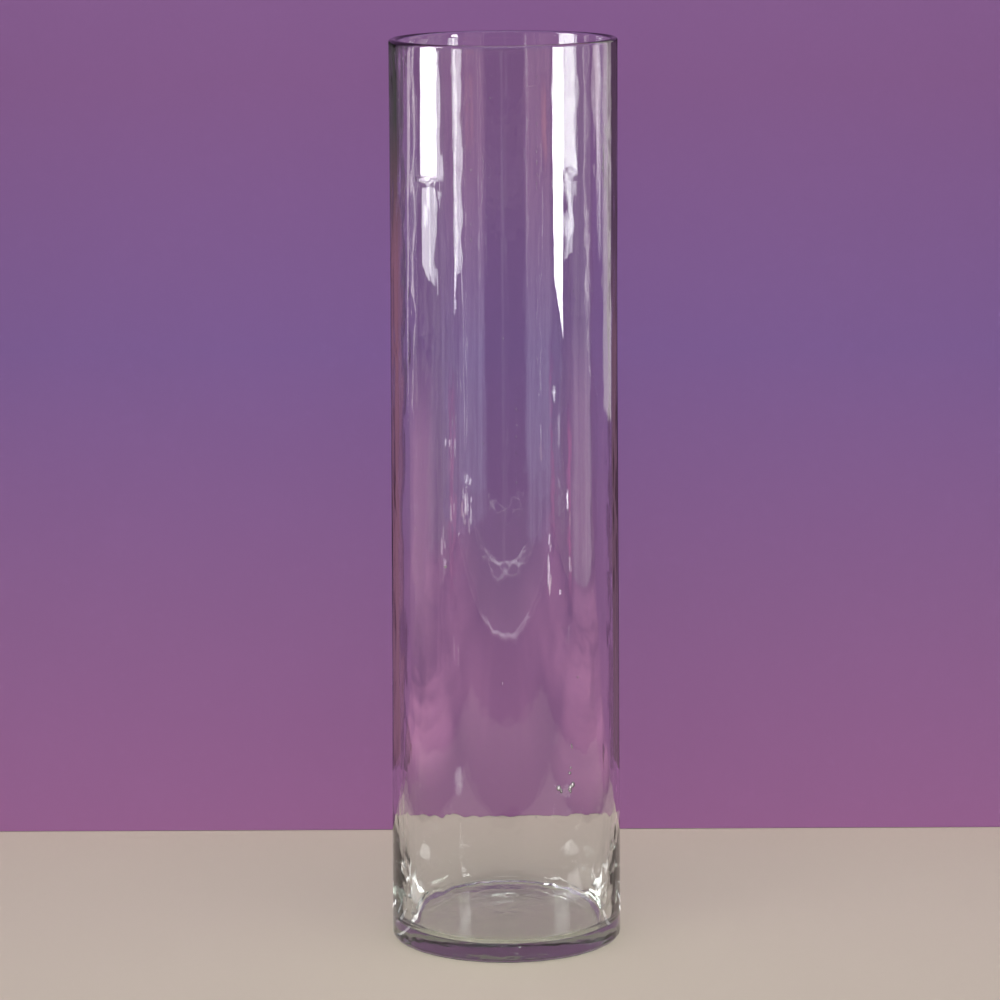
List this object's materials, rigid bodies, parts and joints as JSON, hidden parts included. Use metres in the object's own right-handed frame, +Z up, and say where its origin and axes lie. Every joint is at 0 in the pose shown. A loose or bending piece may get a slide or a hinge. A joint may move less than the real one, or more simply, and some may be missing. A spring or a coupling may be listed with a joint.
{
  "type": "glass cylinder vase",
  "caption": "Tall straight-sided clear glass vase with a rounded rim, a wall that thickens into a heavy floor, and a rounded heel, open at the top for stems and water.",
  "frame": {"origin": "centre of the foot, on the plane the vase stands on", "axes": "+Z up along the vase's axis, from the foot to the open mouth; the vase is round, so X and Y are free"},
  "size_m": [0.155, 0.155, 0.61],
  "materials": {
    "clear_glass": "clear, fire-polished, with faint vertical cords and a few small air bubbles"
  },
  "bodies": {
    "root": {"vase_body": "clear_glass"}
  },
  "joints": []
}
